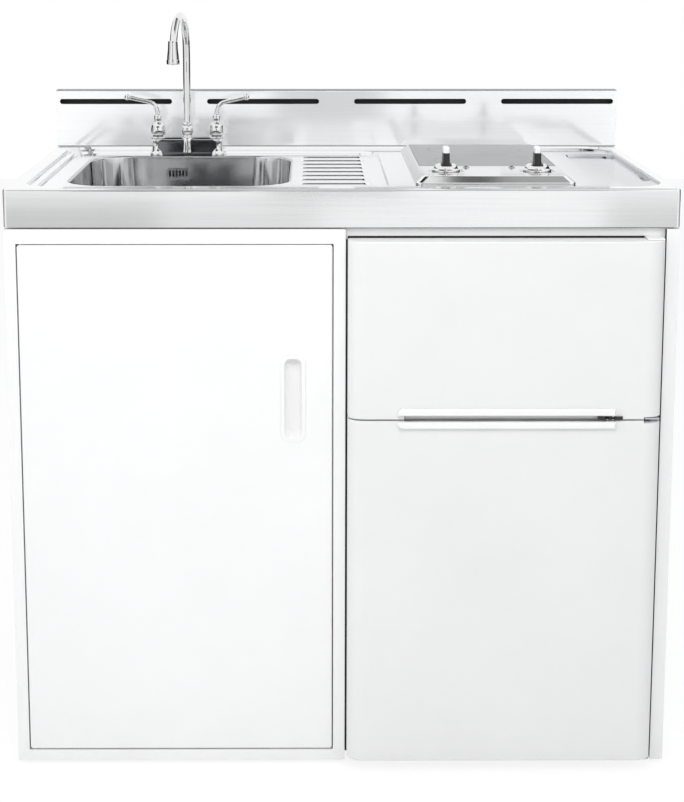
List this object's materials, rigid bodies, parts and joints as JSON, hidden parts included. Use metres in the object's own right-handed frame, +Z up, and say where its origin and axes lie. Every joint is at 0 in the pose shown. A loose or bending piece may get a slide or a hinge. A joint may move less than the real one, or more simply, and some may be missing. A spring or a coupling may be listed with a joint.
{
  "type": "kitchenette unit",
  "caption": "Compact kitchenette unit: steel worktop with sink, mixer tap, drainer and two-zone hob over a storage cabinet and a two-door refrigerator.",
  "frame": {"origin": "on the floor under the middle of the unit's box", "axes": "+Z up, +X to the right seen from the front, +Y towards the wall behind; the front faces -Y"},
  "size_m": [0.99, 0.65, 1.1318],
  "materials": {
    "worktop_steel": "brushed",
    "chrome": "polished",
    "ceramic_glass": "polished",
    "heater": "matt ceramic fibre in a dish",
    "black_plastic": "satin",
    "lamp": "gloss",
    "white_enamel": "satin powder coat",
    "door_white": "satin, fine texture",
    "white_plastic": "satin",
    "gasket_rubber": "matt",
    "zinc": "zinc plated",
    "clear_glass": "clear",
    "clear_plastic": "clear",
    "waste_plastic": "satin",
    "black_enamel": "satin"
  },
  "bodies": {
    "cabinet": {"worktop": "worktop_steel", "backsplash": "worktop_steel", "sink_bowl": "worktop_steel", "hob_frame": "worktop_steel", "overflow_grille": "chrome", "drain_cup": "chrome", "tap_body": "chrome", "spout_nut": "chrome", "drain_tailpiece": "waste_plastic", "waste_trap": "waste_plastic", "hob_glass": "ceramic_glass", "hob_pan": "black_enamel", "front_element": "heater", "rear_element": "heater", "left_switch": "white_plastic", "right_switch": "white_plastic", "left_lamp": "lamp", "right_lamp": "lamp", "front_frame": "white_enamel", "left_side_panel": "white_enamel", "partition_panel": "white_enamel", "right_side_panel": "white_enamel", "fridge_header": "white_enamel", "storage_base": "white_enamel", "storage_back": "white_enamel", "upper_hinge_pin": "zinc", "lower_hinge_pin": "zinc", "door_catch": "white_plastic", "front_left_foot": "zinc", "front_right_foot": "zinc", "rear_left_foot": "zinc", "rear_right_foot": "zinc", "fridge_case": "door_white", "fridge_liner": "white_plastic", "top_hinge": "white_enamel", "middle_hinge": "zinc", "bottom_hinge": "zinc", "fridge_shelf": "clear_glass", "crisper": "clear_plastic", "compressor": "black_enamel", "condenser": "black_enamel"},
    "storage_door": {"door_skin": "white_enamel", "door_liner": "white_enamel", "door_pull": "white_plastic"},
    "freezer_door": {"freezer_door": "door_white", "freezer_door_liner": "white_plastic", "freezer_gasket": "gasket_rubber", "freezer_grip": "white_plastic"},
    "fridge_door": {"fridge_door": "door_white", "fridge_door_liner": "white_plastic", "fridge_gasket": "gasket_rubber", "fridge_grip": "white_plastic"},
    "spout": {"spout": "chrome", "aerator": "chrome"},
    "hot_handle": {"hot_handle": "chrome"},
    "cold_handle": {"cold_handle": "chrome"},
    "left_knob": {"left_knob": "black_plastic"},
    "right_knob": {"right_knob": "black_plastic"},
    "strainer": {"strainer_basket": "chrome"}
  },
  "joints": [
    {"name": "storage_door_hinge", "type": "hinge", "parent": "cabinet", "child": "storage_door", "pos_m": [-0.4705, -0.279, 0.416], "axis": [0, 0, -1], "range_deg": [0, 95]},
    {"name": "freezer_door_hinge", "type": "hinge", "parent": "cabinet", "child": "freezer_door", "pos_m": [0.4594, -0.299, 0.685], "axis": [0, 0, 1], "range_deg": [0, 110]},
    {"name": "fridge_door_hinge", "type": "hinge", "parent": "cabinet", "child": "fridge_door", "pos_m": [0.4594, -0.299, 0.285], "axis": [0, 0, 1], "range_deg": [0, 110]},
    {"name": "spout_swivel", "type": "hinge", "parent": "cabinet", "child": "spout", "pos_m": [-0.26, 0.237, 1], "axis": [0, 0, 1], "range_deg": [-110, 110]},
    {"name": "hot_handle_turn", "type": "hinge", "parent": "cabinet", "child": "hot_handle", "pos_m": [-0.3108, 0.237, 0.93], "axis": [0, 0, 1], "range_deg": [0, 90]},
    {"name": "cold_handle_turn", "type": "hinge", "parent": "cabinet", "child": "cold_handle", "pos_m": [-0.2092, 0.237, 0.93], "axis": [0, 0, -1], "range_deg": [0, 90]},
    {"name": "left_knob_turn", "type": "hinge", "parent": "cabinet", "child": "left_knob", "pos_m": [0.162, -0.135, 0.91], "axis": [0, 0, -1], "range_deg": [0, 300]},
    {"name": "right_knob_turn", "type": "hinge", "parent": "cabinet", "child": "right_knob", "pos_m": [0.302, -0.135, 0.91], "axis": [0, 0, -1], "range_deg": [0, 300]},
    {"name": "strainer_lift", "type": "slide", "parent": "cabinet", "child": "strainer", "axis": [0, 0, 1], "range_m": [0, 0.2]}
  ]
}
